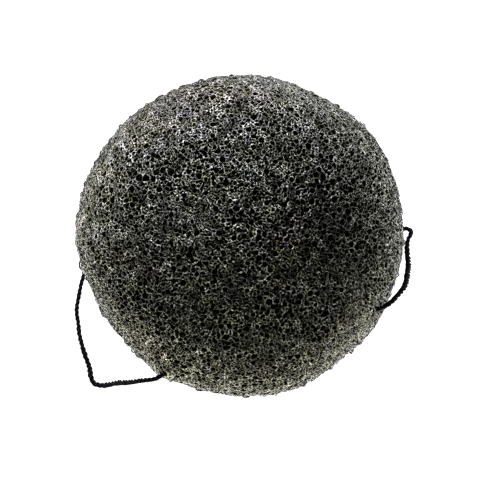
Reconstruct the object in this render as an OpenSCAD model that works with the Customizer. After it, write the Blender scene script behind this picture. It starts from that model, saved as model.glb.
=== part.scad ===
// A half ball of konjac foam that lies on its flat back, with a loop of twisted cord.
// The cord runs through a channel near one edge of the foam. Outside it falls to the table on
// both sides, passes under the flat back and is closed there by an overhand knot with two tails.
// The origin is the centre of the flat back, and +Z is up through the dome.

/* [Sponge] */
// Diameter of the half ball at its widest
sponge_d = 80; // [76:1:84]
// Height of the half ball, from its flat back to the top of the dome
sponge_h = 38; // [34:1:42]
// Radius of the rounded edge round the flat back
edge_r = 6; // [5:0.5:8]

/* [Channel] */
// Height of the channel's line above the flat back
channel_z = 15.5; // [13:0.5:18]
// Distance of the channel's line from the axis of the half ball
channel_offset = 27.4; // [26:0.2:29]
// Turn of the channel's line from the X axis, in degrees
channel_turn = 17; // [15:0.5:19]
// Gap round the cord in its channel
channel_gap = 0.05; // [0.03:0.01:0.1]

/* [Cord] */
// Diameter of the twisted cord
cord_d = 1.2; // [1:0.05:1.3]
// Length of cord that stands straight out of the channel at each end
stub_l = 1.6; // [1.2:0.1:2]

/* [Knot] */
// Length of the knot along its two tails
knot_l = 4.6; // [4:0.1:5]
// Diameter of the knot across its turns
knot_d = 4.2; // [3.8:0.1:4.4]
// How deep the grooves between the knot's turns are
knot_groove = 0.35; // [0.2:0.05:0.5]

/* [Print of the cord in the flat back] */
// Gap beside and above the cord in its print
print_gap = 0.3; // [0.2:0.05:0.5]
// Extra width of the print towards the channel, where the loop swings out
swing_room = 1.2; // [1:0.1:1.6]
// Radius of the hollow over the knot, at the flat back
pocket_r = 5; // [4.6:0.1:5.6]
// Height of the hollow over the knot
pocket_h = 6; // [5.6:0.1:7]

/* [Hidden] */

foam_colour = [0.2, 0.2, 0.185];
cord_colour = [0.05, 0.055, 0.07];

// Steps along the outline of the rounded edge, of the dome and of the hollow over the knot
edge_steps = 8;
dome_steps = 28;
pocket_steps = 10;
// Facets round the half ball, round the channel and the hollow, and round the knot
ball_fn = 180;
hole_fn = 64;
knot_fn = 48;
// Sides of the cord's tube
cord_sides = 8;
// Turns that show on the knot, and steps along each of them
knot_turns = 3;
turn_steps = 8;
// How square the knot's ends are: 2 is an ellipse
knot_power = 3;
// How far a cut runs past the surface that it opens
overrun = 1;

sponge_r = sponge_d / 2;
dome_h = sponge_h - edge_r;
flat_r = sponge_r - edge_r;
cord_r = cord_d / 2;
print_depth = cord_d + print_gap;
print_half_w = cord_r + print_gap;

// The channel's line: its direction, the way from the sponge's axis to it, and its middle
along = [cos(channel_turn), sin(channel_turn), 0];
outward = [sin(channel_turn), -cos(channel_turn), 0];
channel_mid = channel_offset * outward + [0, 0, channel_z];
channel_wall_r = sponge_r * sqrt(1 - pow((channel_z - edge_r) / dome_h, 2));
channel_half = sqrt(pow(channel_wall_r, 2) - pow(channel_offset, 2));
cord_half = channel_half + stub_l;

// The cord's route from the channel's left end, round the left side, to the knot
left_points = [
    [-21.1, -35.5, 15.1], [-23.5, -36, 13.9], [-25.7, -36.3, 11.9], [-27.7, -36.6, 9.5],
    [-29.5, -36.8, 6.9], [-31.3, -37, 4.5], [-33.2, -37.4, 2.4], [-35, -37.6, 1.1],
    [-36.6, -37.1, 0.7], [-37.4, -35.6, 0.6], [-37.8, -33.4, 0.6], [-38.6, -30.7, 0.6],
    [-39.5, -28.1, 0.6], [-40.2, -25.4, 0.6], [-40.6, -22.4, 0.6], [-40.9, -19.2, 0.6],
    [-40.6, -16.2, 0.6], [-40, -13.2, 0.6], [-39.2, -10.1, 0.6], [-38.5, -7.2, 0.6],
    [-37.2, -3.8, 0.6], [-35, -0.4, 0.6], [-32.1, 2.6, 0.6], [-28.6, 5.2, 0.6],
    [-24.8, 7.4, 0.6], [-20.6, 9.1, 0.6], [-16.2, 10.5, 0.6], [-11.8, 11.7, 0.6],
    [-7.4, 12.9, 0.6], [-3.6, 14.2, 0.6], [-0.9, 15.6, 1.1], [0.5, 16.9, 1.9]];
// The first of these points that the print in the flat back follows
left_under_from = 17;

// The cord's route from the channel's right end, round the right side, to the knot
right_points = [
    [37, -16.6, 15.2], [38.6, -15, 14.3], [40, -13.2, 12.7], [40.8, -11.4, 10.5],
    [41.1, -9.8, 8], [41.4, -8.2, 5.5], [41.4, -6.4, 3.3], [41.3, -4.4, 1.6],
    [41.3, -2.3, 0.8], [41.7, -0.9, 0.6], [42.2, 0.1, 0.6], [41.9, 1, 0.6],
    [40.8, 1.3, 0.6], [39, 1.2, 0.6], [36.2, 1.5, 0.6], [33.2, 2, 0.6],
    [30, 2.8, 0.6], [26.8, 3.9, 0.6], [23.6, 5.2, 0.6], [20.4, 6.7, 0.6],
    [17.2, 8.4, 0.6], [14, 10.2, 0.6], [10.8, 12, 0.6], [7.8, 13.6, 0.6],
    [5.2, 14.8, 0.6], [3.2, 15.8, 1.1], [1.9, 16.9, 1.9]];
// The first of these points that the print in the flat back follows
right_under_from = 12;

// The two tails, from inside the knot to their ends
tail_left_points = [[0.5, 19.4, 1.9], [0, 21.2, 1.3], [-0.8, 23, 0.7], [-1.8, 24.8, 0.6],
    [-2.6, 26.8, 0.6]];
tail_right_points = [[1.9, 19.4, 1.9], [2.6, 21.1, 1.3], [3.7, 22.6, 0.7], [5.1, 23.9, 0.6],
    [6.9, 24.8, 0.6]];

// The knot's middle, midway between the places where the cord goes in and comes out
knot_mid = [(left_points[len(left_points) - 1][0] + right_points[len(right_points) - 1][0]) / 2,
    (left_points[len(left_points) - 1][1] + tail_left_points[0][1]) / 2, knot_d / 2];

function unit(v) = v / norm(v);

// Direction of a route at point i, halfway between its two steps there
function heading(route, i, first) =
    i == 0 ? (first == undef ? unit(route[1] - route[0]) : first)
    : i == len(route) - 1 ? unit(route[i] - route[i - 1])
    : unit(unit(route[i + 1] - route[i]) + unit(route[i] - route[i - 1]));

// Corners of the tube's ring at a point, square to the heading there
function ring(at, ahead) =
    let (side = unit(cross(ahead, [0, 0, 1])), top = cross(side, ahead))
    [for (k = [0 : cord_sides - 1])
        let (turn = 360 * (k + 0.5) / cord_sides)
        at + cord_r * (cos(turn) * side + sin(turn) * top)];

// One tube along a route. first is the heading of its first ring
module tube(route, first = undef) {
    count = len(route);
    corners = [for (i = [0 : count - 1]) each ring(route[i], heading(route, i, first))];
    last = (count - 1) * cord_sides;
    walls = [for (i = [0 : count - 2], k = [0 : cord_sides - 1])
        let (a = i * cord_sides + k, b = i * cord_sides + (k + 1) % cord_sides)
        each [[a, a + cord_sides, b], [b, a + cord_sides, b + cord_sides]]];
    start_cap = [for (k = [1 : cord_sides - 2]) [0, k, k + 1]];
    end_cap = [for (k = [1 : cord_sides - 2]) [last, last + k + 1, last + k]];
    polyhedron(points = corners, faces = concat(walls, start_cap, end_cap), convexity = 10);
}

// Outline of the half ball from its axis along the flat back, round the edge and over the dome
function sponge_outline() = concat(
    [[0, 0]],
    [for (i = [0 : edge_steps])
        let (a = 90 * i / edge_steps)
        [flat_r + edge_r * sin(a), edge_r * (1 - cos(a))]],
    [for (i = [1 : dome_steps])
        let (a = 90 * i / dome_steps)
        [sponge_r * cos(a), edge_r + dome_h * sin(a)]]);

// The plan of a cord's print: side is 1 where the channel lies to the right of the route
function print_plan(route, side) =
    let (near = [for (i = [0 : len(route) - 1])
            let (ahead = heading(route, i), across = side * [-ahead[1], ahead[0]])
            [route[i][0], route[i][1]] - print_half_w * across
                + swing_room * [outward[0], outward[1]]],
        far = [for (i = [len(route) - 1 : -1 : 0])
            let (ahead = heading(route, i), across = side * [-ahead[1], ahead[0]])
            [route[i][0], route[i][1]] + print_half_w * across])
    concat(near, far);

// A route flattened onto the table, with its last step drawn out by a length
function flattened(route, from, longer) =
    let (count = len(route), level = [for (i = [from : count - 1]) [route[i][0], route[i][1], 0]],
        last = level[len(level) - 1], ahead = unit(last - level[len(level) - 2]))
    concat([for (i = [0 : len(level) - 2]) level[i]], [last + longer * ahead]);

module cord_print(route, from, side, longer) {
    translate([0, 0, -overrun])
        linear_extrude(print_depth + overrun)
            polygon(print_plan(flattened(route, from, longer), side));
}

module knot_pocket() {
    translate([knot_mid[0], knot_mid[1], 0])
        rotate_extrude($fn = hole_fn)
            polygon(concat([[0, -overrun], [pocket_r, -overrun]],
                [for (i = [0 : pocket_steps])
                    let (a = 90 * i / pocket_steps)
                    [pocket_r * cos(a), pocket_h * sin(a)]]));
}

module along_channel() {
    translate(channel_mid)
        rotate([0, 90, channel_turn])
            children();
}

module sponge_body() {
    color(foam_colour)
        difference() {
            rotate_extrude($fn = ball_fn)
                polygon(sponge_outline());
            along_channel()
                cylinder(h = 2 * sponge_d, d = cord_d + 2 * channel_gap, center = true, $fn = hole_fn);
            cord_print(left_points, left_under_from, 1, 0);
            cord_print(right_points, right_under_from, -1, 0);
            cord_print(tail_left_points, 0, 1, print_half_w + swing_room);
            cord_print(tail_right_points, 0, 1, print_half_w + swing_room);
            knot_pocket();
        }
}

module cord_through() {
    color(cord_colour)
        along_channel()
            cylinder(h = 2 * cord_half, d = cord_d, center = true, $fn = hole_fn);
}

module cord_left_run() {
    color(cord_colour)
        tube(concat([channel_mid - cord_half * along], left_points), -along);
}

module cord_right_run() {
    color(cord_colour)
        tube(concat([channel_mid + cord_half * along], right_points), along);
}

// Outline of half the knot: a barrel with round ends and a soft groove between its turns
function knot_outline() =
    let (steps = knot_turns * turn_steps)
    [for (i = [1 : steps - 1])
        let (share = i / steps,
            round_share = pow(1 - pow(abs(2 * share - 1), knot_power), 1 / knot_power))
        [knot_d / 2 * round_share - knot_groove * (1 + cos(360 * knot_turns * share)) / 2,
            (share - 0.5) * knot_l]];

module cord_knot() {
    color(cord_colour)
        translate(knot_mid)
            rotate([-90, 0, 0])
                rotate_extrude($fn = knot_fn)
                    polygon(concat([[0, -knot_l / 2]], knot_outline(), [[0, knot_l / 2]]));
}

module cord_tail_left() {
    color(cord_colour)
        tube(tail_left_points);
}

module cord_tail_right() {
    color(cord_colour)
        tube(tail_right_points);
}

sponge_body();
cord_through();
cord_left_run();
cord_right_run();
cord_knot();
cord_tail_left();
cord_tail_right();
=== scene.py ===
import math

import bmesh
import bpy
import numpy as np
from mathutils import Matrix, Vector


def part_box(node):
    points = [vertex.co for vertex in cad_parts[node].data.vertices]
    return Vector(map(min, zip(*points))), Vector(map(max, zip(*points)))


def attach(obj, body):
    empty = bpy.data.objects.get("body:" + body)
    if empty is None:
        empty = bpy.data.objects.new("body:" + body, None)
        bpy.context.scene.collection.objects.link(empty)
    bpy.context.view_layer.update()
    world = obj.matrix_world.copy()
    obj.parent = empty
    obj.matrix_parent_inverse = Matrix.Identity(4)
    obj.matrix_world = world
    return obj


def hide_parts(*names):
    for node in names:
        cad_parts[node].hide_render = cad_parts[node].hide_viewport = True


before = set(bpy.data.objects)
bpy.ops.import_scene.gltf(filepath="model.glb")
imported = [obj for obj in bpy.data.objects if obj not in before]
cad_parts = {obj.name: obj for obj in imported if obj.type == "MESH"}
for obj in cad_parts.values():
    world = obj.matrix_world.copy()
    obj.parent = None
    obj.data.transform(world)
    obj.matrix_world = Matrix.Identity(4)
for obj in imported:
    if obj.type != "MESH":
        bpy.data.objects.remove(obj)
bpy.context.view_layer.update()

# Lengths are in millimetres until a mesh is made
MM = 0.001
TURN = 2 * math.pi
norm, join = np.linalg.norm, np.concatenate

# The photograph: where the half ball's middle lies in its frame, and its scale at the rim
FRAME_PX = 480
MIDDLE_PX = (241.3, 234.0)
MM_PER_PX = 0.2477
CAMERA_HEIGHT = 1200.0
SENSOR_MM = 36.0

# The half ball, from its CAD solid and its rounded edge
BALL_LOW, BALL_HIGH = (np.array(c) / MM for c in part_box("sponge_body"))
BALL_R = (BALL_HIGH[0] - BALL_LOW[0]) / 2
BALL_H = BALL_HIGH[2] - BALL_LOW[2]
EDGE_R = 6.0
FLAT_R = BALL_R - EDGE_R
DOME_H = BALL_H - EDGE_R
# Height of the point on the axis that sees every place on the outline once
HEART_Z = 12.0
# Lower places of the even half ball lie on its flat back
BACK_Z = 0.01

# The cord: its diameter, its channel and its routes, as in the CAD model
CORD_D = 1.2
CHANNEL_Z = 15.5
CHANNEL_OFFSET = 27.4
CHANNEL_TURN = math.radians(17)
STUB_L = 1.6
ALONG = np.array([math.cos(CHANNEL_TURN), math.sin(CHANNEL_TURN), 0.0])
OUTWARD = np.array([math.sin(CHANNEL_TURN), -math.cos(CHANNEL_TURN), 0.0])
CHANNEL_MID = CHANNEL_OFFSET * OUTWARD + [0, 0, CHANNEL_Z]
WALL_R = BALL_R * math.sqrt(1 - ((CHANNEL_Z - EDGE_R) / DOME_H) ** 2)
CHANNEL_HALF = math.sqrt(WALL_R**2 - CHANNEL_OFFSET**2)
MOUTHS = [CHANNEL_MID + side * CHANNEL_HALF * ALONG for side in (-1, 1)]


def laid(*points):
    """A route's points. Where a point has no height, the cord lies on the table."""
    return [(*point, CORD_D / 2)[:3] for point in points]


LEFT_POINTS = laid(
    (-21.1, -35.5, 15.1), (-23.5, -36, 13.9), (-25.7, -36.3, 11.9), (-27.7, -36.6, 9.5), (-29.5, -36.8, 6.9),
    (-31.3, -37, 4.5), (-33.2, -37.4, 2.4), (-35, -37.6, 1.1), (-36.6, -37.1, 0.7), (-37.4, -35.6),
    (-37.8, -33.4), (-38.6, -30.7), (-39.5, -28.1), (-40.2, -25.4), (-40.6, -22.4), (-40.9, -19.2),
    (-40.6, -16.2), (-40, -13.2), (-39.2, -10.1), (-38.5, -7.2), (-37.2, -3.8), (-35, -0.4), (-32.1, 2.6),
    (-28.6, 5.2), (-24.8, 7.4), (-20.6, 9.1), (-16.2, 10.5), (-11.8, 11.7), (-7.4, 12.9), (-3.6, 14.2),
    (-0.9, 15.6, 1.1), (0.5, 16.9, 1.9),
)
RIGHT_POINTS = laid(
    (37, -16.6, 15.2), (38.6, -15, 14.3), (40, -13.2, 12.7), (40.8, -11.4, 10.5), (41.1, -9.8, 8),
    (41.4, -8.2, 5.5), (41.4, -6.4, 3.3), (41.3, -4.4, 1.6), (41.3, -2.3, 0.8), (41.7, -0.9), (42.2, 0.1),
    (41.9, 1), (40.8, 1.3), (39, 1.2), (36.2, 1.5), (33.2, 2), (30, 2.8), (26.8, 3.9), (23.6, 5.2),
    (20.4, 6.7), (17.2, 8.4), (14, 10.2), (10.8, 12), (7.8, 13.6), (5.2, 14.8), (3.2, 15.8, 1.1),
    (1.9, 16.9, 1.9),
)
TAIL_LEFT_POINTS = laid(
    (0.5, 19.4, 1.9), (0, 21.2, 1.3), (-0.8, 23, 0.7), (-1.8, 24.8), (-2.6, 26.8),
)
TAIL_RIGHT_POINTS = laid(
    (1.9, 19.4, 1.9), (2.6, 21.1, 1.3), (3.7, 22.6, 0.7), (5.1, 23.9), (6.9, 24.8),
)
KNOT_MID = np.array([1.2, 18.15, 2.1])


def ease(low, high, value):
    """0 below low, 1 above high, with a soft rise between them."""
    share = np.clip((value - low) / (high - low), 0, 1)
    return share * share * (3 - 2 * share)


def columns(*parts):
    return np.stack(parts, 1)


def unit_rows(rows):
    return rows / np.maximum(norm(rows, axis=-1, keepdims=True), 1e-12)


def in_scene(name, data):
    thing = bpy.data.objects.new(name, data)
    bpy.context.scene.collection.objects.link(thing)
    return thing


def mesh_piece(name, places, groups, material, body, depth=None):
    """A smooth piece from places in millimetres and arrays of faces, each array with one size of face."""
    used = np.unique(join([g.ravel() for g in groups]))
    number = np.zeros(len(places), np.int32)
    number[used] = np.arange(len(used))
    corners = join([number[g].ravel() for g in groups])
    sizes = join([np.full(len(g), g.shape[1], np.int32) for g in groups])
    mesh = bpy.data.meshes.new(name)
    mesh.vertices.add(len(used))
    mesh.vertices.foreach_set("co", (places[used] * MM).astype(np.float32).ravel())
    mesh.loops.add(len(corners))
    mesh.loops.foreach_set("vertex_index", corners.astype(np.int32))
    mesh.polygons.add(len(sizes))
    mesh.polygons.foreach_set("loop_start", join([[0], np.cumsum(sizes)[:-1]]).astype(np.int32))
    mesh.polygons.foreach_set("use_smooth", np.ones(len(sizes), bool))
    if depth is not None:
        layer = mesh.attributes.new("depth_mm", "FLOAT", "POINT")
        layer.data.foreach_set("value", depth[used].astype(np.float32))
    mesh.update(calc_edges=True)
    mesh.validate()
    mesh.materials.append(material)
    piece = in_scene(name, mesh)
    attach(piece, body)
    return piece


# Camera, light and floor


def add_camera():
    """Straight down on the dome from far above, so that the half ball's middle falls on its pixel."""
    data = bpy.data.cameras.new("camera")
    data.sensor_width = SENSOR_MM
    data.lens = SENSOR_MM * (CAMERA_HEIGHT - EDGE_R) / (FRAME_PX * MM_PER_PX)
    data.clip_end = 10
    camera = in_scene("camera", data)
    camera.location = (
        (FRAME_PX / 2 - MIDDLE_PX[0]) * MM_PER_PX * MM,
        (MIDDLE_PX[1] - FRAME_PX / 2) * MM_PER_PX * MM,
        CAMERA_HEIGHT * MM,
    )
    bpy.context.scene.camera = camera


LAMP_AWAY = 700.0
# Each soft light: side and height in degrees, width in millimetres and power in watts
LAMPS = [("key", 104, 14, 200, 63.0), ("fill", 240, 20, 300, 8.0)]
# The sky: strength, how much more at the horizon, and how fast that falls off
SKY = 0.3
GLOW = 60.0
GLOW_FALL = 20.0
# The floor and the light sheet over it: half their side in metres, and their depths
SHEET_HALF = 3.0
FLOOR_DEPTH = 0.5
SHEET_DEPTH = 0.2
FLOOR_WHITE = 1.6
SHEET_PALE = 0.9
# The light sheet glows more towards one side: its heading, how far out it changes, and how much
SHEET_SIDE = math.radians(290)
SHEET_SPAN = 50.0
SHEET_GLOW = (1.0, 12.0)


def add_lamp(name, side, rise, width, power):
    """A square soft light that looks at the half ball."""
    side, rise = math.radians(side), math.radians(rise)
    way = Vector((math.cos(rise) * math.cos(side), math.cos(rise) * math.sin(side), math.sin(rise)))
    data = bpy.data.lights.new(name, "AREA")
    data.size = width * MM
    data.energy = power
    lamp = in_scene(name, data)
    lamp.location = way * LAMP_AWAY * MM
    lamp.rotation_euler = way.to_track_quat("Z", "Y").to_euler()
    lamp.visible_camera = False


def add_world():
    """A studio tent: a dim sky that glows all round just above the floor."""
    world = bpy.data.worlds.new("tent")
    world.use_nodes = True
    nodes, links = world.node_tree.nodes, world.node_tree.links
    heading = nodes.new("ShaderNodeSeparateXYZ")
    links.new(nodes.new("ShaderNodeTexCoord").outputs["Generated"], heading.inputs[0])
    value = heading.outputs["Z"]
    steps = (("ABSOLUTE", 0, 0), ("MULTIPLY_ADD", -1, 1), ("POWER", GLOW_FALL, 0), ("MULTIPLY_ADD", GLOW, SKY))
    for operation, second, third in steps:
        step = nodes.new("ShaderNodeMath")
        step.operation = operation
        step.inputs[1].default_value = second
        step.inputs[2].default_value = third
        links.new(value, step.inputs[0])
        value = step.outputs[0]
    links.new(value, nodes["Background"].inputs["Strength"])
    nodes["Background"].inputs["Color"].default_value = WHITE
    bpy.context.scene.world = world


def add_sheet(name, depth, pale):
    """A level sheet that sends out white light, and its material's nodes."""
    n = Nodes(name)
    n.surface({
        "Base Color": (*grey(pale), 1), "Roughness": 1.0, "Specular IOR Level": 0.0, "Emission Color": WHITE,
    })
    mesh = bpy.data.meshes.new(name)
    corners = [(x * SHEET_HALF, y * SHEET_HALF, 0) for x, y in ((-1, -1), (1, -1), (1, 1), (-1, 1))]
    mesh.from_pydata(corners, [], [(0, 1, 2, 3)])
    mesh.materials.append(n.material)
    sheet = in_scene(name, mesh)
    sheet.location.z = -depth * MM
    return sheet, n


def add_stage():
    """A white floor, a light sheet that the camera doesn't see, a tent and soft lights."""
    _, n = add_sheet("floor", FLOOR_DEPTH, 0.0)
    n.surface({"Emission Strength": FLOOR_WHITE})
    sheet, n = add_sheet("light_sheet", SHEET_DEPTH, SHEET_PALE)
    sheet.visible_camera = False
    n.surface({"Emission Strength": n.span(n.towards(SHEET_SIDE, SHEET_SPAN * MM), -1.0, 1.0, *SHEET_GLOW)})
    add_world()
    bpy.context.scene.view_settings.view_transform = "Standard"
    for lamp in LAMPS:
        add_lamp(*lamp)


# Materials

WHITE = (1.0, 1.0, 1.0, 1.0)
BUMP = 0.5


def grey(level):
    return (level, level, level)


class Nodes:
    """A material's node tree, with short ways to add to it."""

    def __init__(self, name):
        self.material = bpy.data.materials.new(name)
        self.material.use_nodes = True
        self.tree = self.material.node_tree
        self.shader = self.tree.nodes["Principled BSDF"]
        self.place = self.tree.nodes.new("ShaderNodeTexCoord").outputs["Object"]

    def add(self, kind, inputs=(), **settings):
        """One node. Its inputs are (name or number, value or socket) pairs."""
        node = self.tree.nodes.new(kind)
        for key, value in settings.items():
            setattr(node, key, value)
        for key, value in inputs:
            self.set(node.inputs[key], value)
        return node

    def set(self, socket, value):
        if isinstance(value, bpy.types.NodeSocket):
            self.tree.links.new(value, socket)
        else:
            socket.default_value = value

    def surface(self, inputs):
        for key, value in inputs.items():
            self.set(self.shader.inputs[key], value)

    def noise(self, scale, detail=2.0, roughness=0.5):
        """Soft noise, scale being how many of its features fit in a metre."""
        return self.add(
            "ShaderNodeTexNoise",
            [("Vector", self.place), ("Scale", scale), ("Detail", detail), ("Roughness", roughness)],
        ).outputs["Fac"]

    def ramp(self, value, stops, kind="LINEAR"):
        """A colour ramp with (place, colour) stops."""
        node = self.add("ShaderNodeValToRGB", [("Fac", value)])
        ramp = node.color_ramp
        ramp.interpolation = kind
        while len(ramp.elements) < len(stops):
            ramp.elements.new(1.0)
        for element, (place, colour) in zip(ramp.elements, stops):
            element.position = place
            element.color = (*colour, 1)
        return node.outputs["Color"]

    def tint(self, noise, stops):
        return self.ramp(self.noise(*noise), stops)

    def mix(self, share, first, second, blend="MIX"):
        inputs = [(0, share), (6, first), (7, second)]
        return self.add("ShaderNodeMix", inputs, data_type="RGBA", blend_type=blend).outputs[2]

    def maths(self, operation, first, second):
        return self.add("ShaderNodeMath", [(0, first), (1, second)], operation=operation).outputs[0]

    def span(self, value, low, high, to_low=0.0, to_high=1.0):
        """A value brought from one span to another and held inside it."""
        inputs = [("Value", value), ("From Min", low), ("From Max", high), ("To Min", to_low), ("To Max", to_high)]
        return self.add("ShaderNodeMapRange", inputs).outputs[0]

    def measure(self, operation, point):
        """A place's distance to a point, or its dot product with it."""
        node = self.add("ShaderNodeVectorMath", [(0, self.place), (1, point)], operation=operation)
        return node.outputs["Value"]

    def towards(self, heading, length):
        """How far a place lies from the middle towards a heading, in lengths given in metres."""
        return self.measure("DOT_PRODUCT", [math.cos(heading) / length, math.sin(heading) / length, 0])

    def bump(self, noise, distance):
        """Fine relief from noise, up to a distance in metres."""
        inputs = [("Height", self.noise(*noise)), ("Strength", BUMP), ("Distance", distance)]
        self.surface({"Normal": self.add("ShaderNodeBump", inputs).outputs[0]})


# Tints of the foam: noise (features in a metre, detail, roughness) and its colours
PATCHES = ((70, 3), [
    (0.34, (0.975, 1.0, 1.0)), (0.46, (0.985, 1.0, 0.96)), (0.56, (0.99, 1.0, 0.9)), (0.66, (1.05, 0.98, 0.96)),
])
# The specks: dark flecks, and pale specks that are painted glints
SPECKS_AND_PAINTED_GLINTS = ((2500, 1, 0.6), [(0.41, (0.06, 0.06, 0.035)), (0.5, (0.68, 0.68, 0.61)), (0.64, (3.3, 3.3, 3.7))])
AREAS = ((290, 1, 0.5), [(0.32, grey(0.4)), (0.68, grey(1.6))])
# Painted light and shade by depth: pale crests and near-black depths, as colours over a span of depths under the skin
PAINTED_SHADE_DEPTHS = (-0.3, 0.9)
PAINTED_DEPTH_SHADES = [
    (0.0, grey(2.2)), (0.25, (1.6, 1.6, 1.54)), (0.42, (0.95, 0.95, 0.85)), (0.56, (0.6, 0.61, 0.43)),
    (0.7, (0.45, 0.46, 0.25)), (0.83, (0.12, 0.125, 0.03)), (1.0, (0.013, 0.014, 0.001)),
]
# How pale the foam is at shares of its height: painted light round the side and painted shade at the foot
WARM, OLIVE = (1.02, 1.0, 0.97), (0.98, 1.0, 0.98)
PAINTED_LIGHT_AND_SHADE_BY_HEIGHT = [(place, much, WARM) for place, much in (
    (0.0, 0.4), (0.16, 0.42), (0.25, 0.43), (0.3, 0.6), (0.35, 0.86), (0.39, 1.12), (0.43, 1.32), (0.48, 1.18),
    (0.56, 1.1), (0.62, 1.06),
)] + [(place, much, OLIVE) for place, much in ((0.74, 0.8), (0.84, 0.97), (1.0, 1.25))]
# Low down, by these shares at shares of the height, specks and areas fade towards one tone
EVEN = [(0.36, grey(0.45)), (0.66, grey(0.0))]
EVEN_SPECK = (1.15, 1.15, 1.12, 1.0)
# There the foam also has painted light towards one side, the side away from the key lamp: its heading, its span and how
# much
PAINTED_LIGHT_SIDE = math.radians(290)
PAINTED_LIGHT_LEAN = (-0.45, 0.45)
PAINTED_LIGHT_FACTORS = (0.75, 1.25)
# Soft areas of painted light and shade, two of them only faint tints: middle, reach and how much paler in each colour
PAINTED_LIGHT_AND_SHADE_AREAS = [
    ((22.5, 5, 32), 19, grey(0.52)), ((-22, 2, 33), 14, grey(0.7)), ((2, -14, 36), 18, grey(1.5)),
    ((-6, 20, 33), 15, grey(1.1)), ((27.6, 23, 17), 26, grey(0.62)), ((-17.6, -30.5, 20), 20, grey(1.25)),
    ((-16, 34, 18), 30, (1.08, 1.0, 1.02)), ((36, -4, 20), 26, (0.975, 1.0, 1.0)),
]
# The foam goes from olive to neutral towards one side: its heading and its span
NEUTRAL_SIDE = math.radians(100)
NEUTRAL_SPAN = (-28.0, 34.0)
NEUTRAL_TINTS = [(0.0, (1.0, 1.0, 0.76)), (1.0, (1.0, 1.0, 1.12))]
ROUGH_NOISE, ROUGHNESS = (1500, 2), (0.2, 0.6)
# Fine relief: its noise and its height in metres
GRAIN = ((5000, 3), 0.00008)
FIBRE_GRAIN = ((9000, 3), 0.00004)


def foam_material(name, tone, shine, sheen):
    """A net of the foam: charcoal threads with faint neutral, olive and warm patches, dark flecks and pale specks that
    are painted glints.

    Its shade is painted in: it is darker the deeper it lies, and it has painted light and shade over its height,
    towards one side and in soft areas."""
    n = Nodes(name)
    colour, specks_and_glints, area = n.tint(*PATCHES), n.tint(*SPECKS_AND_PAINTED_GLINTS), n.tint(*AREAS)
    height = n.add("ShaderNodeSeparateXYZ", [(0, n.place)]).outputs["Z"]
    share = n.span(height, 0.0, BALL_H * MM)
    even = n.ramp(share, EVEN)
    depth = n.add("ShaderNodeAttribute", attribute_name="depth_mm").outputs["Fac"]
    tints = [
        n.mix(even, specks_and_glints, EVEN_SPECK),
        n.mix(even, area, WHITE),
        # Painted shade by depth, then painted light and shade over the height and towards one side
        n.ramp(n.span(depth, *PAINTED_SHADE_DEPTHS), PAINTED_DEPTH_SHADES),
        n.ramp(share, [(place, tuple(tone * much * c for c in hue)) for place, much, hue in PAINTED_LIGHT_AND_SHADE_BY_HEIGHT]),
        n.span(n.maths("MULTIPLY", n.towards(PAINTED_LIGHT_SIDE, BALL_R * MM), even), *PAINTED_LIGHT_LEAN, *PAINTED_LIGHT_FACTORS),
    ]
    # Painted light and shade in soft areas, and two faint tints
    for middle, reach, tint in PAINTED_LIGHT_AND_SHADE_AREAS:
        away = n.maths("DIVIDE", n.measure("DISTANCE", [c * MM for c in middle]), reach * MM)
        tints.append(n.ramp(away, [(0.0, tint), (1.0, grey(1.0))], "EASE"))
    neutral = n.span(n.towards(NEUTRAL_SIDE, 1.0), *(c * MM for c in NEUTRAL_SPAN))
    tints.append(n.ramp(neutral, NEUTRAL_TINTS))
    for tint in tints:
        colour = n.mix(1.0, colour, tint, "MULTIPLY")
    n.surface({
        "Base Color": colour, "Roughness": n.span(n.noise(*ROUGH_NOISE), 0.0, 1.0, *ROUGHNESS),
        "Specular IOR Level": shine, "Sheen Weight": sheen, "Sheen Roughness": 0.3,
    })
    n.bump(*GRAIN)
    return n.material


# Painted shade of the deep net and core: tints of a near-black tone, over noise
CORE_SHADE_TINTS = ((600, 3, 0.6), [(0.3, (0.3, 0.32, 0.0)), (0.7, (1.0, 1.05, 0.05))])
# The cotton's uneven near-black colour, its palest flecks painted highlights
COTTON_AND_PAINTED_GLINTS = ((2600, 4, 0.7), [
    (0.34, (0.0001, 0.0001, 0.0002)), (0.55, (0.0006, 0.0008, 0.0013)), (0.75, (0.003, 0.004, 0.0065)),
])


def painted_shade_material(name, tone):
    """The inside, with its shade painted in: nearly black."""
    n = Nodes(name)
    noise, stops = CORE_SHADE_TINTS
    colour = n.tint(noise, [(place, tuple(tone * c for c in tint)) for place, tint in stops])
    n.surface({"Base Color": colour, "Roughness": 0.9, "Specular IOR Level": 0.0})
    return n.material


def cord_material():
    """Black cotton with a faint blue tint, and pale bluish flecks at random: painted highlights of its fibres."""
    n = Nodes("black_cotton")
    n.surface({"Base Color": n.tint(*COTTON_AND_PAINTED_GLINTS), "Roughness": 0.75, "Specular IOR Level": 0.015})
    n.bump(*FIBRE_GRAIN)
    return n.material


# Cord


def part_way(start, end, t, t_start, t_end):
    return start + (end - start) * (t - t_start) / (t_end - t_start)


def curve(points, step):
    """A smooth curve through the points, with a place about every step."""
    points = np.array(points, float)
    ends = np.vstack([2 * points[0] - points[1], points, 2 * points[-1] - points[-2]])
    knots = join([[0], np.cumsum(np.sqrt(norm(np.diff(ends, axis=0), axis=1)))])
    places = []
    for i in range(1, len(ends) - 2):
        a, b, c, d = ends[i - 1 : i + 3]
        ta, tb, tc, td = knots[i - 1 : i + 3]
        count = max(int(round(norm(c - b) / step)), 1)
        t = np.linspace(tb, tc, count, endpoint=False)[:, None]
        ab, bc, cd = part_way(a, b, t, ta, tb), part_way(b, c, t, tb, tc), part_way(c, d, t, tc, td)
        places.append(part_way(part_way(ab, bc, t, ta, tc), part_way(bc, cd, t, tb, td), t, tb, tc))
    return np.vstack([*places, points[-1:]])


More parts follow.
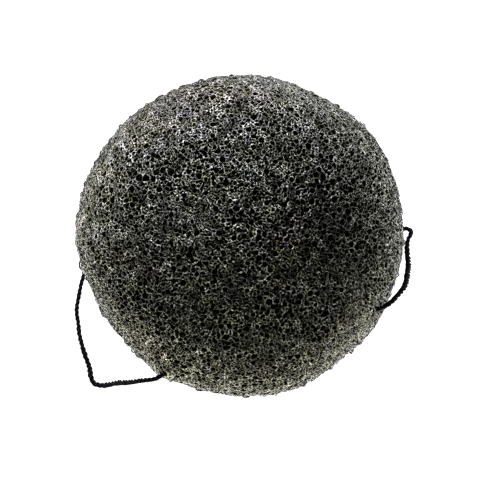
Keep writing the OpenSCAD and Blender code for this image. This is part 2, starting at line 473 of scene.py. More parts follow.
def lengths_along(path):
    return join([[0], np.cumsum(norm(np.diff(path, axis=0), axis=1))])


def frames_along(path):
    """Headings along a path, and two directions across it that don't turn about it."""
    ahead = unit_rows(np.gradient(path, axis=0))
    across = np.zeros_like(path)
    start = np.cross(ahead[0], [0, 0, 1.0])
    across[0] = start / norm(start)
    for i in range(1, len(path)):
        turned = across[i - 1] - ahead[i] * (across[i - 1] @ ahead[i])
        across[i] = turned / norm(turned)
    return ahead, across, np.cross(ahead, across)


PLIES = 3
PLY_R = 0.315
PLY_OUT = 0.285
LAY_MM = 3.6
PLY_SIDES = 14
PLY_YARNS = 5
YARN_DEPTH = 0.08
YARN_TURN = 1.6
# How uneven twist and plies are, and the period and first seed of the wave
TWIST_UNEVEN, TWIST_WAVE = 0.25, (5, 60)
PLY_UNEVEN, PLY_WAVE = 0.06, (2.2, 70)
# How full the cord is at lengths from the knot: slack where it bends, tight in the channel
FULLNESS = [
    (0, 0.95), (50, 0.94), (64, 0.98), (74, 1.2), (88, 1.22), (98, 1.08), (106, 0.95),
    (150, 0.85), (156, 0.85), (162, 1.15), (168, 1.3), (180, 1.3), (186, 1.0),
]
FULL_UNEVEN, FULL_WAVE = 0.05, (4, 53)
# How far a limp cord wanders, the wave's period and two seeds, and how far from the knot it starts
CORD_WOBBLE = 0.05
WANDER_PERIOD, WANDER_SEEDS = 7, (51, 52)
FREE_AFTER = 6
LEAST_Z = 0.02
WOBBLE_WAVES = 6


def wobble(lengths, period, seed):
    """A soft random wave along a length, mostly between -1 and 1."""
    rng = np.random.default_rng(seed)
    waves = TURN / (period * (0.6 + rng.random(WOBBLE_WAVES)))
    phases = TURN * rng.random(WOBBLE_WAVES)
    return np.sin(lengths[:, None] * waves + phases).sum(1) / math.sqrt(WOBBLE_WAVES)


def ply_rings(path, frames, lengths, full, spread=1.0, phase=0.0):
    """Rings of each ply twisted along the path: an array of plies, places along and corners round.

    full scales the plies and how far apart they lie, and spread only the latter."""
    _, across, up = frames
    rings = []
    for ply in range(PLIES):
        twist, swollen = (wobble(lengths, period, seed + ply) for period, seed in (TWIST_WAVE, PLY_WAVE))
        turn = phase + TURN * (lengths / LAY_MM + ply / PLIES) + TWIST_UNEVEN * twist
        out = PLY_OUT * full * spread
        middle = path + (np.cos(turn) * out)[:, None] * across + (np.sin(turn) * out)[:, None] * up
        round_ = np.linspace(0, TURN, PLY_SIDES, endpoint=False)
        yarn = np.cos(PLY_YARNS * (round_[None] + YARN_TURN * turn[:, None]))
        radius = PLY_R * (full * (1 + PLY_UNEVEN * swollen))[:, None] * (1 + YARN_DEPTH * yarn)
        spun = round_ + turn[:, None]
        aside, above = radius * np.cos(spun), radius * np.sin(spun)
        rings.append(middle[:, None] + aside[..., None] * across[:, None] + above[..., None] * up[:, None])
    return np.array(rings)


def rings_round(line, thick, one, two, turns):
    """A ring round each place of a line, with corners at the turns."""
    return columns(*(line + thick[:, None] * (math.cos(a) * one + math.sin(a) * two) for a in turns))


def tube_groups(tubes):
    """The places and faces of closed tubes, each an array of rings with the same number of corners."""
    quads, caps, start = [], {}, 0
    for tube in tubes:
        count, sides, _ = tube.shape
        number = start + np.arange(count * sides).reshape(count, sides)
        beside = np.roll(number, -1, axis=1)
        quads.append(np.stack([number[:-1], beside[:-1], beside[1:], number[1:]], -1).reshape(-1, 4))
        caps.setdefault(sides, []).extend([number[:1, ::-1], number[-1:]])
        start += count * sides
    places = np.vstack([tube.reshape(-1, 3) for tube in tubes])
    return places, [np.vstack(quads), *(np.vstack(caps[sides]) for sides in sorted(caps))]


def cord_piece(name, tubes, material, node):
    """A piece of the cord from tubes, in place of its CAD node."""
    piece = mesh_piece(name, *tube_groups(tubes), material, "cord_loop")
    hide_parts(node)
    return piece


CORD_STEP = 0.25
# How far inside the channel each side's curve starts
CHANNEL_LEAD = 2


def add_cord(material):
    """The loop as one twisted length, cut where it enters the foam."""
    half = CHANNEL_HALF + STUB_L
    left, right = (
        curve([CHANNEL_MID + side * at * ALONG for at in (half - CHANNEL_LEAD, half)] + points, CORD_STEP)
        for side, points in ((-1, LEFT_POINTS), (1, RIGHT_POINTS))
    )
    inside = curve([left[0], CHANNEL_MID, right[0]], CORD_STEP)[1:-1]
    path = np.vstack([left[::-1], inside, right])
    lengths = lengths_along(path)
    frames = frames_along(path)
    # It wanders only as far as the room in the channel allows, and not at the knot
    free = ease(0, FREE_AFTER, lengths) * ease(0, FREE_AFTER, lengths[-1] - lengths)
    for way, seed in zip(frames[1:], WANDER_SEEDS):
        path = path + (CORD_WOBBLE * free * wobble(lengths, WANDER_PERIOD, seed))[:, None] * way
    full = np.interp(lengths, *zip(*FULLNESS)) * (1 + FULL_UNEVEN * free * wobble(lengths, *FULL_WAVE))
    rings = ply_rings(path, frames, lengths, full)
    rings[..., 2] += np.maximum(LEAST_Z - rings[..., 2].min(axis=(0, 2)), 0)[:, None]
    cut_left, cut_right = len(left) - 1, len(left) + len(inside)
    spans = {
        "cord_left_lay": (0, cut_left + 1, "cord_left_run"),
        "cord_channel_lay": (cut_left, cut_right + 1, "cord_through"),
        "cord_right_lay": (cut_right, len(path), "cord_right_run"),
    }
    pieces = {name: cord_piece(name, rings[:, a:b], material, node) for name, (a, b, node) in spans.items()}
    return pieces, path, spans, lengths


# Knot and tails
STRAND_OUT = 0.7
STRAND_Z = -0.2
STRAND_ENDS = (-1.3, 1.5)
STRAND_BOW = (-0.12, 0.1)
STRAND_FULL = 0.9
WRAP_STEPS = 60
WRAP_START = math.pi * 0.6
WRAP_TURNS = 1.45
WRAP_PITCH = 1.08
WRAP_STRETCH = 1.15
WRAP_REACH = (1.5, 1.28)
WRAP_FULL = 0.92
WRAP_UNEVEN, WRAP_WAVE = 0.05, (3, 80)
WRAP_SWAY = 0.16
# Each end dives in over this share of a wrap, down to this share of its reach
WRAP_DIVE = 0.14
WRAP_INNER = 0.45
TAIL_ROOT = 1.1
TAIL_STEP = 0.2
TAIL_UNEVEN, TAIL_PERIOD = 0.04, 3
TAIL_OPEN = 2.6
TAIL_FLARE = 1.7
TAIL_THIN = 0.12
FIBRES = 26
FIBRE_SPREAD = 0.85
FIBRE_LEAN = 0.45
FIBRE_SPAN = (0.5, 0.9)
FIBRE_BEND = 0.12
FIBRE_ROOT = 0.3
FIBRE_Z = 0.04
FIBRE_R = (0.045, 0.02)
FIBRE_TURNS = (0, 2.09, 4.19)


def add_knot(material):
    """The doubled overhand knot: two strands, and the coils of the same two round them."""
    tubes = []
    for side in (-1, 1):
        start, end = (KNOT_MID + [side * STRAND_OUT, y, STRAND_Z] for y in STRAND_ENDS)
        bow = (start + end) / 2 + [side * STRAND_BOW[0], 0, STRAND_BOW[1]]
        core = curve([start, bow, end], CORD_STEP)
        lengths = np.linspace(0, STRAND_ENDS[1] - STRAND_ENDS[0], len(core))
        tubes += list(ply_rings(core, frames_along(core), lengths, np.full(len(core), STRAND_FULL), phase=side))
    period, seed = WRAP_WAVE
    for strand in range(2):
        share = np.linspace(0, 1, WRAP_STEPS)
        turn = WRAP_START + TURN * WRAP_TURNS * share
        dive = ease(0, WRAP_DIVE, share) * ease(0, WRAP_DIVE, 1 - share)
        reach = np.array(WRAP_REACH) * (WRAP_INNER + (1 - WRAP_INNER) * dive)[:, None]
        rise = (share - 0.5) * WRAP_TURNS * WRAP_STRETCH * WRAP_PITCH + (strand - 0.5) * WRAP_PITCH
        rise += WRAP_SWAY * np.sin(turn + 1 + 2 * strand)
        path = KNOT_MID + columns(reach[:, 0] * np.cos(turn), rise, reach[:, 1] * np.sin(turn))
        lengths = lengths_along(path)
        full = WRAP_FULL * (1 + WRAP_UNEVEN * wobble(lengths, period, seed + strand))
        tubes += list(ply_rings(path, frames_along(path), lengths, full, phase=2.0 * strand))
    return cord_piece("cord_knot_lay", tubes, material, "cord_knot")


def add_tail(name, node, points, seed, material):
    """A short tail out of the knot, whose plies part at the cut end into a tuft of fibres."""
    rng = np.random.default_rng(seed)
    path = curve([np.array(points[0]) - [0, TAIL_ROOT, 0], *points], TAIL_STEP)
    lengths = lengths_along(path)
    frames = frames_along(path)
    parted = ease(TAIL_OPEN, 0, lengths[-1] - lengths)
    full = (1 + TAIL_UNEVEN * wobble(lengths, TAIL_PERIOD, seed)) * (1 - TAIL_THIN * parted)
    rings = ply_rings(path, frames, lengths, full, 1 + (TAIL_FLARE - 1) * parted, phase=seed)
    low = rings[..., 2].min(axis=2, keepdims=True)
    rings[..., 2] += np.maximum(LEAST_Z - low, 0)
    tubes = list(rings)
    ahead, across, up = (way[-1] for way in frames)
    for ply in rings:
        centre = ply[-1].mean(0)
        for _ in range(FIBRES):
            root = centre + (ply[-1][rng.integers(PLY_SIDES)] - centre) * FIBRE_SPREAD * rng.random()
            lean = FIBRE_LEAN * rng.standard_normal(2)
            least, more = FIBRE_SPAN
            tip = root + (least + more * rng.random()) * unit_rows(ahead + lean[0] * across + lean[1] * up)
            bend = root + (tip - root) * 0.5 + FIBRE_BEND * rng.standard_normal(3)
            line = curve([root - FIBRE_ROOT * ahead, root, bend, tip], CORD_STEP)
            line[:, 2] = np.maximum(line[:, 2], FIBRE_Z)
            _, one, two = frames_along(line)
            tubes.append(rings_round(line, np.linspace(*FIBRE_R, len(line)), one, two, FIBRE_TURNS))
    return cord_piece(name, tubes, material, node)


# Foam

# Steps along the outline: on the flat back, round the edge and up the dome
SKIN_STEPS = (500, 300, 1200)
SWELL_WAVES = 14


class Skin:
    """The half ball's outline, turned round its axis: places on it and under it."""

    def __init__(self):
        flat = np.linspace(0, FLAT_R, SKIN_STEPS[0])
        bend, rise = (np.linspace(0, math.pi / 2, steps)[1:] for steps in SKIN_STEPS[1:])
        self.r = join([flat, FLAT_R + EDGE_R * np.sin(bend), BALL_R * np.cos(rise)])
        self.z = join([0 * flat, EDGE_R * (1 - np.cos(bend)), EDGE_R + DOME_H * np.sin(rise)])
        step = np.hypot(np.diff(self.r), np.diff(self.z))
        self.length = join([[0], np.cumsum(step)])
        dr, dz = np.gradient(self.r, self.length), np.gradient(self.z, self.length)
        self.nr, self.nz = unit_rows(columns(dz, -dr)).T
        self.seen_at = np.arctan2(self.z - HEART_Z, self.r)
        middle_r = np.maximum((self.r[1:] + self.r[:-1]) / 2, 1e-6)
        self.area = join([[0], np.cumsum(TURN * middle_r * step)])
        # A map to a ball that keeps angles, so that cells even there are even here
        shape = join([[0], np.cumsum(step / middle_r)])
        shape -= np.interp(self.length[-1] / 2, self.length, shape)
        self.ball_turn = 2 * np.arctan(np.exp(np.clip(shape, -30, 30)))

    def scatter(self, count, rng):
        """Random places all over the skin, even by area."""
        length = np.interp(rng.random(count) * self.area[-1], self.area, self.length)
        turn = rng.random(count) * TURN
        r, z = np.interp(length, self.length, self.r), np.interp(length, self.length, self.z)
        return columns(r * np.cos(turn), r * np.sin(turn), z)

    def seen(self, places):
        """How far places are from the axis, and their angle up from the heart."""
        rho = np.maximum(np.hypot(places[:, 0], places[:, 1]), 1e-9)
        return rho, np.arctan2(places[:, 2] - HEART_Z, rho)

    def under(self, places, depth):
        """The places moved to a depth straight below where they lie on the skin."""
        rho, seen = self.seen(places)
        r, z, nr, nz = (np.interp(seen, self.seen_at, x) for x in (self.r, self.z, self.nr, self.nz))
        out = (r - nr * depth) / rho
        return columns(places[:, 0] * out, places[:, 1] * out, z - nz * depth)

    def on_ball(self, places):
        """The same places on a ball of radius 1."""
        rho, seen = self.seen(places)
        turn = np.interp(seen, self.seen_at, self.ball_turn)
        return columns(places[:, 0] / rho * np.sin(turn), places[:, 1] / rho * np.sin(turn), -np.cos(turn))


def swell(places, period, seed):
    """A soft random swell over space, mostly between -1.5 and 1.5."""
    rng = np.random.default_rng(seed)
    way = unit_rows(rng.standard_normal((SWELL_WAVES, 3)))
    waves = way * TURN / (period * (0.7 + 0.8 * rng.random((SWELL_WAVES, 1))))
    return np.sin(places @ waves.T + TURN * rng.random(SWELL_WAVES)).sum(1) / math.sqrt(SWELL_WAVES / 2)


DART_CELL = 0.8
# The pores' sizes change softly inside these shares, and are coarser on the back
GROW_SPAN = (0.7, 1.5)
BACK_COARSE = 1.5
WELL_MOST = 0.8
NO_WELLS = (np.zeros((0, 3)), np.zeros(0))
# Soft swells of the foam: period and seed
SIZE_SWELL = (16.0, 21)
SOFT_SWELL = (5, 31)
FINE_SWELL = (2.2, 32)
BAR_SWELL = (3, 33)
BREAK_SWELL = (7, 34)
TEETH_SWELL = (2, 36)


def throw_darts(skin, look, rng, wells):
    """Pore middles and radii: wells, then pores from large to small, each kept if it overlaps none before."""
    grid, middles, radii = {}, [], []
    for tries, low, high in [(0, 0, 0), *look["sizes"]]:
        darts = skin.scatter(tries, rng)
        grow = np.clip(1 + look["vary"] * swell(darts, *SIZE_SWELL), *GROW_SPAN)
        grow = np.where(darts[:, 2] < BACK_Z, BACK_COARSE, grow)
        reach = (low + (high - low) * rng.random(len(darts))) * grow
        if not tries:
            darts, reach, high = *wells, WELL_MOST
        for place, radius, key in zip(darts.tolist(), reach.tolist(), np.floor(darts / DART_CELL).astype(int).tolist()):
            if any(math.dist(place, middles[i]) < radius + radii[i] for i in grid.get(tuple(key), ())):
                continue
            span = radius + high * GROW_SPAN[1]
            x, y, z = (range(int((c - span) // DART_CELL), int((c + span) // DART_CELL) + 1) for c in place)
            for cell in ((i, j, k) for i in x for j in y for k in z):
                grid.setdefault(cell, []).append(len(middles))
            middles.append(place)
            radii.append(radius)
    return np.array(middles), np.array(radii)


def ring_rows(skin, middles):
    """The triangles between neighbouring pores, and for each pore the walls round it in order.

    The rows hold the pore, the wall's first and second triangle, the pore beyond and the wall's number."""
    mesh = bmesh.new()
    for place in skin.on_ball(middles):
        mesh.verts.new(place)
    bmesh.ops.convex_hull(mesh, input=mesh.verts)
    bmesh.ops.triangulate(mesh, faces=mesh.faces)
    mesh.verts.index_update()
    mesh.normal_update()
    triangles = []
    for face in mesh.faces:
        a, b, c = (v.index for v in face.verts)
        triangles.append((a, b, c) if face.normal.dot(face.calc_center_median()) > 0 else (a, c, b))
    mesh.free()
    after = {}
    for t, (a, b, c) in enumerate(triangles):
        after[a, b], after[b, c], after[c, a] = (c, t), (a, t), (b, t)
    first = {}
    for a, b, c in triangles:
        first[a], first[b], first[c] = b, c, a
    rows, walls = [], {}
    for pore, start in first.items():
        beyond = start
        while True:
            following, t = after[pore, beyond]
            _, t_next = after[pore, following]
            wall = walls.setdefault((min(pore, following), max(pore, following)), len(walls))
            rows.append((pore, t, t_next, following, wall))
            beyond = following
            if beyond == start:
                break
    return np.array(triangles), np.array(rows)


# Where pores meet: how near to one of them that may be, and shares of it and of their plain middle
MET_SPAN = (0.1, 0.8)
MET_MOST = 0.9
MET_SHARE, PLAIN_SHARE = 0.7, 0.3


def junctions(middles, radii, triangles):
    """Where three pores meet: halfway between their middle and the point at one distance from their rims."""
    a, b, c = (middles[triangles[:, k]] for k in range(3))
    ra, rb, rc = (radii[triangles[:, k]] for k in range(3))
    e, f = b - a, c - a
    ee, ef, ff = (e * e).sum(1), (e * f).sum(1), (f * f).sum(1)
    p, q = (ee + ra**2 - rb**2) / 2, (ff + ra**2 - rc**2) / 2
    area = np.maximum(ee * ff - ef**2, 1e-9)
    u = np.clip((p * ff - q * ef) / area, *MET_SPAN)
    v = np.clip((q * ee - p * ef) / area, *MET_SPAN)
    over = np.maximum((u + v) / MET_MOST, 1)
    met = a + e * (u / over)[:, None] + f * (v / over)[:, None]
    return MET_SHARE * met + PLAIN_SHARE * (a + b + c) / 3


# The half ball's plan: thousandths of its radius every 10 degrees from +X, anticlockwise
PLAN_SHARES = np.array([
    1012, 1012, 1018, 1026, 1020, 1002, 991, 988, 1003, 999, 999, 996, 993, 1002, 1003, 1006, 1022, 1034,
    1043, 1030, 1004, 998, 991, 995, 1020, 1003, 1004, 1010, 1022, 1027, 1013, 1005, 1018, 1018, 1008, 1012,
]) / 1000
# Soft lumps of the dome: waves round, waves up, phase and height
LUMPS = [(3, 2, 0.4, 0.35), (5, 1, 2.1, 0.25), (4, 3, 4.0, 0.22), (7, 4, 1.2, 0.15)]
# How far out from the axis plan and lumps come in, and what a lump does sideways and up
PLAN_REACH = (0.2, 0.9)
LUMP_REACH = (0.15, 0.5)
LUMP_OUT, LUMP_UP = 0.5, 0.4
# The cord's print and the knot's hollow in the back: depth, edge in plan and fade with height
PRESS_BELOW = 14
PRINT_H = 1.5
PRINT_W = (0.8, 2.3)
PRINT_FADE = (2, 7)
POCKET_H = 5.0
POCKET_W = (2.7, 5.6)
POCKET_FADE = (1, 13)
PRINT_LINES = [[np.array(p[:2]) for p in line] for line in (
    (*LEFT_POINTS[15:], *RIGHT_POINTS[:11:-1]), TAIL_LEFT_POINTS, TAIL_RIGHT_POINTS,
)]
CHANNEL_CLEAR = 0.55
CHANNEL_FADE = 1.1
# The print is this much wider towards the channel, where the loop leaves it
SWING_ROOM = 1.2
# How far the foam swells out at the channel's left and right mouths, and how wide
MOUTH_SWELL = (1.0, -0.5)
MOUTH_W = 4.5


def line_distance(points, line):
    nearest = np.full(len(points), np.inf)
    for a, b in zip(line[:-1], line[1:]):
        step = b - a
        along = np.clip((points - a) @ step / (step @ step), 0, 1)
        nearest = np.minimum(nearest, norm(points - a - along[:, None] * step, axis=1))
    return nearest


def warp(places):
    """Places of the even half ball made out of round, lumpy and pressed by the cord."""
    x, y, z = places.T.copy()
    turn = np.arctan2(y, x)
    at = (turn % TURN) / TURN * len(PLAN_SHARES)
    low, part = np.floor(at).astype(int), ease(0, 1, at % 1)
    plan, plan_next = (PLAN_SHARES[(low + more) % len(PLAN_SHARES)] for more in (0, 1))
    plan = plan * (1 - part) + plan_next * part
    out = np.hypot(x, y) / BALL_R
    plan = 1 + (plan - 1) * ease(*PLAN_REACH, out)
    lump = sum(h * np.sin(m * turn + p) * np.sin(k * math.pi * np.clip(z / BALL_H, 0, 1)) for m, k, p, h in LUMPS)
    grow = plan + lump * ease(*LUMP_REACH, out) / BALL_R * LUMP_OUT
    x, y = x * grow, y * grow
    z = z + LUMP_UP * lump * (z / BALL_H)
    for mouth, grow in zip(MOUTHS, MOUTH_SWELL):
        away = norm(columns(x, y, z) - mouth, axis=1)
        push = grow * np.exp(-((away / MOUTH_W) ** 2))
        x, y = x + push * mouth[0] / BALL_R, y + push * mouth[1] / BALL_R
    low_down = z < PRESS_BELOW
    plan_xy = columns(x, y)[low_down]
    reach = np.full(low_down.sum(), np.inf)
    for shift in (0, 0.5, 1):
        away = plan_xy - shift * SWING_ROOM * OUTWARD[:2]
        for line in PRINT_LINES:
            reach = np.minimum(reach, line_distance(away, line))
    knot = norm(plan_xy - KNOT_MID[:2], axis=1)
    z_low = z[low_down]
    press = PRINT_H * (1 - ease(*PRINT_W, reach)) * (1 - ease(*PRINT_FADE, z_low))
    hollow = POCKET_H * (1 - ease(*POCKET_W, knot)) * (1 - ease(*POCKET_FADE, z_low))
    z[low_down] = z_low + np.maximum(press, hollow)
    # Room for the cord in its channel
    moved = columns(x, y, z)
    from_mid = moved - CHANNEL_MID
    aside = from_mid - (from_mid @ ALONG)[:, None] * ALONG
    gap = norm(aside, axis=1, keepdims=True)
    moved += unit_rows(aside) * CHANNEL_CLEAR * np.exp(-gap / CHANNEL_FADE)
    moved[:, 2] = np.maximum(moved[:, 2], 0)
    return moved


# Broken walls: the share that is tried, and how unevenly they break
BREAK_TRIED = 0.6
BREAK_UNEVEN, BREAK_SPAN = 0.8, (0, 3)


def broken_walls(ends, chance, rng):
    """Walls to leave out, so that two pores become one: never two that meet."""
    met, broken = set(), np.zeros(len(ends), bool)
    for wall in np.argsort(rng.random(len(ends)) - chance).tolist()[: int(BREAK_TRIED * len(ends))]:
        a, b = ends[wall].tolist()
        if rng.random() < chance[wall] and a not in met and b not in met:
            met.update((a, b))
            broken[wall] = True
    return broken


# Round the side the net is flatter, with wider bars and fewer broken walls: how much, and over which heights
SIDE_RELIEF, RELIEF_HEIGHTS = 0.3, (14, 36)
SIDE_BAR, BAR_HEIGHTS = 0.3, (8, 20)
SIDE_WHOLE, WHOLE_HEIGHTS = 0.3, (24, 36)
# The widest part of the side stands out in small upright bumps, which show as teeth round the outline
WALL_FOOT = (1.5, 4.5)
WALL_TOP = (7.5, 11)
WALL_STRETCH = [1, 1, 0.35]
TEETH_MEAN = 1.2
# On the top the crests are more ragged
TOP_ROUGH, TOP_HEIGHTS = 0.7, (27, 36)
# Bars vary softly inside a span, and at random. A hole keeps a least share of its reach
BAR_UNEVEN, BAR_SPAN = 0.35, (0.5, 2)
BAR_LEAST, BAR_MORE = 0.5, 1.3
HOLE_LEAST = 0.3
RIM_UNEVEN = 0.5


def net_of_pores(skin, look, wells):
    """An open net: a hole for each pore, and bars between them with a crest above and below.

    look gives the pores' sizes, the net's depth, its bars' half width and height, and how rough it all is.
    wells are pores of the net above that this net leaves open too."""
    rng = np.random.default_rng(look["seed"])
    middles, radii = throw_darts(skin, look, rng, wells)
    triangles, rows = ring_rows(skin, middles)
    pore, t, t_next, beyond, bar_no = rows.T
    count, k = len(triangles), len(rows)
    rough, height = look["rough"], look["height"]
    corner = junctions(middles, radii, triangles) + look["shift"] * rng.standard_normal((count, 3))
    ends = np.zeros((bar_no.max() + 1, 2), int)
    ends[bar_no] = columns(t, t_next)
    # Depths: a soft unevenness, a rough crest, and junctions that stand up as spikes
    soft = look["depth"] + look["uneven"] * swell(corner, *SOFT_SWELL) + look["fine"] * swell(corner, *FINE_SWELL)
    wall = ease(*WALL_FOOT, corner[:, 2]) * (1 - ease(*WALL_TOP, corner[:, 2]))
    soft += look["teeth"] * wall * (TEETH_MEAN + swell(corner * WALL_STRETCH, *TEETH_SWELL))
    jitter = rough * rng.standard_normal(count)
    jitter -= (rng.random(count) < look["spikes"]) * look["spike"] * rng.random(count)
    jitter *= 1 + TOP_ROUGH * ease(*TOP_HEIGHTS, corner[:, 2])
    top = np.maximum(soft + jitter, look["least"])
    # The hole's rim goes as far out as its bars and its own size allow
    middle = middles[pore]
    way = corner[t] - middle
    far = norm(way, axis=1)
    bar = look["bar"] * np.clip(1 + BAR_UNEVEN * swell(middle, *BAR_SWELL), *BAR_SPAN)
    bar *= BAR_LEAST + BAR_MORE * rng.random(k)
    bar *= 1 + SIDE_BAR * (1 - ease(*BAR_HEIGHTS, middle[:, 2])) * (middle[:, 2] > BACK_Z)
    reach = np.clip(far - bar, HOLE_LEAST * far, look["round"] * radii[pore])
    rim = middle + way * (reach / far)[:, None]
    rim_rough = rng.standard_normal(len(middles))[pore] + RIM_UNEVEN * rng.standard_normal(k)
    rim_depth = soft[t] + height * look["rim"] + rough * rim_rough
    depth = join([top, soft + height + np.abs(jitter), rim_depth])
    # Round the side the same net is flatter, so that its holes stay open to a slanting look
    level = join([soft, soft, soft[t]])
    lie = SIDE_RELIEF + (1 - SIDE_RELIEF) * ease(*RELIEF_HEIGHTS, join([corner, corner, rim])[:, 2])
    placed = level + (depth - level) * lie
    # Numbers of the places: tops of junctions, then their feet, then rims
    foot, foot_next, rim_no = count + t, count + t_next, 2 * count + np.arange(k)
    order = {(p, a): i for i, (p, a) in enumerate(zip(pore.tolist(), t.tolist()))}
    rim_next = 2 * count + np.array([order[p, b] for p, b in zip(pore.tolist(), t_next.tolist())])
    beyond_no = np.array([order[q, b] for q, b in zip(beyond.tolist(), t_next.tolist())])
    wall_mid = corner[ends].mean(1)
    frail = SIDE_WHOLE + (1 - SIDE_WHOLE) * ease(*WHOLE_HEIGHTS, wall_mid[:, 2])
    patchy = np.clip(1 + BREAK_UNEVEN * swell(wall_mid, *BREAK_SWELL), *BREAK_SPAN)
    broken = broken_walls(ends, look["broken"] * frail * patchy, rng)
    whole, cut = ~broken[bar_no], broken[bar_no]
    rim_beyond = rim_next[beyond_no]
    quads = np.vstack([
        columns(t, t_next, rim_next, rim_no)[whole],
        columns(foot, rim_no, rim_next, foot_next)[whole],
    ])
    caps = np.vstack([
        columns(t, rim_beyond, rim_no)[cut],
        columns(foot, rim_no, rim_beyond)[cut],
    ])
    return dict(
        middles=middles, radii=radii, corner=corner, ends=ends, quads=quads, caps=caps, depth=depth,
        places=skin.under(np.vstack([corner, corner, rim]), placed),
        quad_pore=np.tile(pore[whole], 2), cap_pore=np.tile(pore[cut], 2), whole=whole,
        pore=pore, t=t, t_next=t_next, beyond=beyond,
    )


def net_pieces(net, names, material, back_alone=False):
    """The net in closed meshes: equal slices, and the back by itself if asked."""
    x, y, z = net["middles"].T
    slices = len(names) - back_alone
    zone = np.floor((np.arctan2(y, x) / TURN % 1) * slices).astype(int) % slices
    if back_alone:
        zone[z < BACK_Z] = slices
    count = len(net["corner"])
    edge = (zone[net["pore"]] != zone[net["beyond"]]) & net["whole"]
    t, t_next, pore = (net[key][edge] for key in ("t", "t_next", "pore"))
    closing = columns(count + t, count + t_next, t_next, t)
    quads = np.vstack([net["quads"], closing])
    quad_zone, cap_zone = zone[join([net["quad_pore"], pore])], zone[net["cap_pore"]]
    places = warp(net["places"])
    pieces = []
    for key, name in enumerate(names):
        groups = [quads[quad_zone == key], net["caps"][cap_zone == key]]
        pieces.append(mesh_piece(name, places, groups, material, "sponge", net["depth"]))
    return pieces


OUTER = dict(
    seed=3, vary=0.1,
    sizes=[(1200, 0.62, 0.88), (7000, 0.48, 0.66), (5000, 0.38, 0.52), (9000, 0.3, 0.4), (170000, 0.2, 0.28)],
    depth=0.2, least=-0.3, uneven=0.07, fine=0.06, rough=0.08, spikes=0.08, spike=0.3, shift=0.06,
    bar=0.085, height=0.3, rim=0.5, round=1.35, broken=0.35, teeth=0.28,
)
MIDDLE = dict(
    OUTER, seed=4, sizes=[(3000, 0.45, 0.65), (130000, 0.29, 0.4)], depth=0.52, least=0.25, uneven=0.1, fine=0.1,
    rough=0.1, spikes=0.1, shift=0.05, bar=0.09, round=1.3, broken=0.4, teeth=0.26,
)
DEEP = dict(
    seed=5, vary=0.0, sizes=[(2500, 0.75, 0.95), (40000, 0.5, 0.68)],
    depth=1.15, least=0.8, uneven=0.1, fine=0.0, rough=0.12, spikes=0.0, spike=0.0, shift=0.05,
    bar=0.17, height=0.45, rim=0.45, round=1.2, broken=0.1, teeth=0.15,
)
# Pores of the outer net above this radius go on into the middle one, at this share
WELL_R, WELL_SHARE = 0.36, 0.95
# Threads: share of junctions, least and further radius, lean, and depth and thickness at both ends
THREAD_SHARE = 0.4
THREAD_R = (0.08, 0.07)
THREAD_LEAN = 0.35
THREAD_ENDS = ((0.3, 1.0), (1.4, 0.75))
THREAD_UNEVEN = 0.15
ASLANT = [0.3, 0.5, 0.8]


def add_struts(skin, net, material):
    """A thin thread from under some junctions of the outer net down into the foam."""
    rng = np.random.default_rng(11)
    corner = net["corner"][rng.random(len(net["corner"])) < THREAD_SHARE]
    count = len(corner)
    out = unit_rows(corner - [0, 0, HEART_Z])
    side = unit_rows(np.cross(out, ASLANT))
    other = np.cross(out, side)
    thick = THREAD_R[0] + THREAD_R[1] * rng.random(count)
    lean = THREAD_LEAN * rng.standard_normal((count, 2))
    rings, depths = [], []
    for foot, (down, share) in enumerate(THREAD_ENDS):
        depth = down + THREAD_UNEVEN * rng.random(count)
        middle = skin.under(corner + foot * (lean[:, :1] * side + lean[:, 1:] * other), depth)
        ring = rings_round(middle, thick * share, side, other, [TURN * k / 3 for k in range(3)])
        rings.append(ring.transpose(1, 0, 2).reshape(-1, 3))
        depths += [depth] * 3
    i = np.arange(count)
    tops, lows = [i + k * count for k in range(3)], [i + (k + 3) * count for k in range(3)]
    quads = np.vstack([columns(tops[k], lows[k], lows[(k + 1) % 3], tops[(k + 1) % 3]) for k in range(3)])
    caps = np.vstack([columns(*tops), columns(*lows[::-1])])
    return mesh_piece("foam_threads", warp(np.vstack(rings)), [quads, caps], material, "sponge", join(depths))


# Frays: how many, junctions in each, sides, and how deep their ends root
ARCHES = 26
ARCH_STEPS = (4, 7)
ARCH_SIDES = 4
ARCH_ROOT = 0.5
# Where they stand: heights, and headings in degrees that have more of them
ARCH_HEIGHTS = (3, 10)
ARCH_TURNS = (95, 175)
ARCH_FAVOUR = 6.0
# Their shape: climb and step of the walk, rise, sink and fullness of the arch, thickness, and the depth that sets their
# painted shade
ARCH_CLIMB = 5
ARCH_STEP = 0.35
ARCH_RISE, ARCH_SINK = 0.16, 0.14
ARCH_FULL = 0.6
ARCH_R = (0.14, 0.08)
ARCH_UNEVEN = 0.3
ARCH_PAINTED_SHADE_DEPTH = 0.4


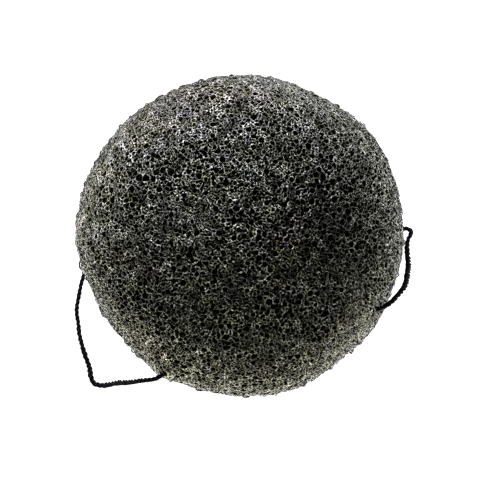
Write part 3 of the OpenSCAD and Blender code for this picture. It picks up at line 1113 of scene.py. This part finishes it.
def add_arches(skin, net, material):
    """Frayed threads that stand off the outer net, each along a walk from junction to junction."""
    rng = np.random.default_rng(13)
    corner, beside = net["corner"], {}
    for a, b in net["ends"].tolist():
        beside.setdefault(a, []).append(b)
        beside.setdefault(b, []).append(a)
    turn = np.degrees(np.arctan2(corner[:, 1], corner[:, 0])) % 360
    low = (corner[:, 2] > ARCH_HEIGHTS[0]) & (corner[:, 2] < ARCH_HEIGHTS[1])
    chance = np.where(low, np.where((turn > ARCH_TURNS[0]) & (turn < ARCH_TURNS[1]), ARCH_FAVOUR, 1.0), 0)
    starts = rng.choice(len(corner), ARCHES, replace=False, p=chance / chance.sum())
    tubes = []
    for at in starts.tolist():
        heading = np.array([-corner[at][1], corner[at][0], ARCH_CLIMB * rng.standard_normal()]) * rng.choice((-1, 1))
        walk = [at]
        steps = rng.integers(*ARCH_STEPS)
        while len(walk) < steps:
            ahead = [b for b in beside[walk[-1]] if b not in walk]
            if not ahead:
                break
            walk.append(max(ahead, key=lambda b: float(heading @ unit_rows(corner[b] - corner[walk[-1]]))))
        if len(walk) < ARCH_STEPS[0]:
            continue
        line = curve(corner[walk], ARCH_STEP)
        share = np.linspace(0, 1, len(line))
        height = ARCH_RISE * rng.random() - ARCH_SINK
        line = skin.under(line, ARCH_ROOT - (height + ARCH_ROOT) * np.sin(math.pi * share) ** ARCH_FULL)
        _, across, up = frames_along(line)
        thick = (ARCH_R[0] + ARCH_R[1] * rng.random()) * (1 + ARCH_UNEVEN * rng.random(len(line)))
        tubes.append(rings_round(line, thick, across, up, [TURN * k / ARCH_SIDES for k in range(ARCH_SIDES)]))
    places, groups = tube_groups(tubes)
    # A set depth for the frays, which gives them that depth's painted shade
    return mesh_piece("foam_frays", warp(places), groups, material, "sponge", np.full(len(places), ARCH_PAINTED_SHADE_DEPTH))


# The core: depth of its ridges, how much deeper its pits go, and how unevenly
CORE_DEPTH = 2.1
PIT_DEPTH, PIT_SPAN = 1.1, (0.6, 0.4)
RIDGE_UNEVEN = 0.25


def add_core(skin, net, material):
    """The closed middle: a pit under each pore of the deep net, and a ridge under each bar."""
    rng = np.random.default_rng(12)
    count = len(net["middles"])
    pits = skin.under(net["middles"], CORE_DEPTH + PIT_DEPTH * (PIT_SPAN[0] + PIT_SPAN[1] * rng.random(count)))
    ridges = skin.under(net["corner"], CORE_DEPTH + RIDGE_UNEVEN * rng.random(len(net["corner"])))
    faces = columns(net["pore"], count + net["t"], count + net["t_next"])
    return mesh_piece("foam_core", warp(np.vstack([pits, ridges])), [faces], material, "sponge")


def add_foam():
    """The three nets, threads and frays of the outer one, and the core."""
    skin = Skin()
    # The middle net is a darker copy of the outer one, and the deep net and core are near black: painted shade of the
    # foam's inside
    outer_material = foam_material("konjac_net", tone=0.0255, shine=0.03, sheen=0.06)
    middle_painted_shade_material = foam_material("konjac_middle_painted_shade", tone=0.021, shine=0.005, sheen=0.0)
    outer = net_of_pores(skin, OUTER, NO_WELLS)
    large = outer["radii"] > WELL_R
    middle = net_of_pores(skin, MIDDLE, (outer["middles"][large], outer["radii"][large] * WELL_SHARE))
    deep = net_of_pores(skin, DEEP, NO_WELLS)
    outer_names = [f"foam_net_{c}" for c in "abcdef"] + ["foam_back_net"]
    pieces = net_pieces(outer, outer_names, outer_material, back_alone=True)
    pieces += net_pieces(middle, [f"foam_middle_{c}" for c in "abc"], middle_painted_shade_material)
    pieces += net_pieces(deep, [f"foam_deep_{c}" for c in "ab"], painted_shade_material("konjac_deep_painted_shade", tone=0.0026))
    pieces.append(add_struts(skin, outer, middle_painted_shade_material))
    pieces.append(add_arches(skin, outer, outer_material))
    pieces.append(add_core(skin, deep, painted_shade_material("konjac_core_painted_shade", tone=0.0008)))
    for piece in pieces:
        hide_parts("sponge_body")


add_camera()
add_stage()
cotton = cord_material()
cord_pieces, cord_path, cord_spans, cord_lengths = add_cord(cotton)
add_knot(cotton)
add_tail("cord_tail_left_lay", "cord_tail_left", TAIL_LEFT_POINTS, 5, cotton)
add_tail("cord_tail_right_lay", "cord_tail_right", TAIL_RIGHT_POINTS, 6, cotton)
add_foam()
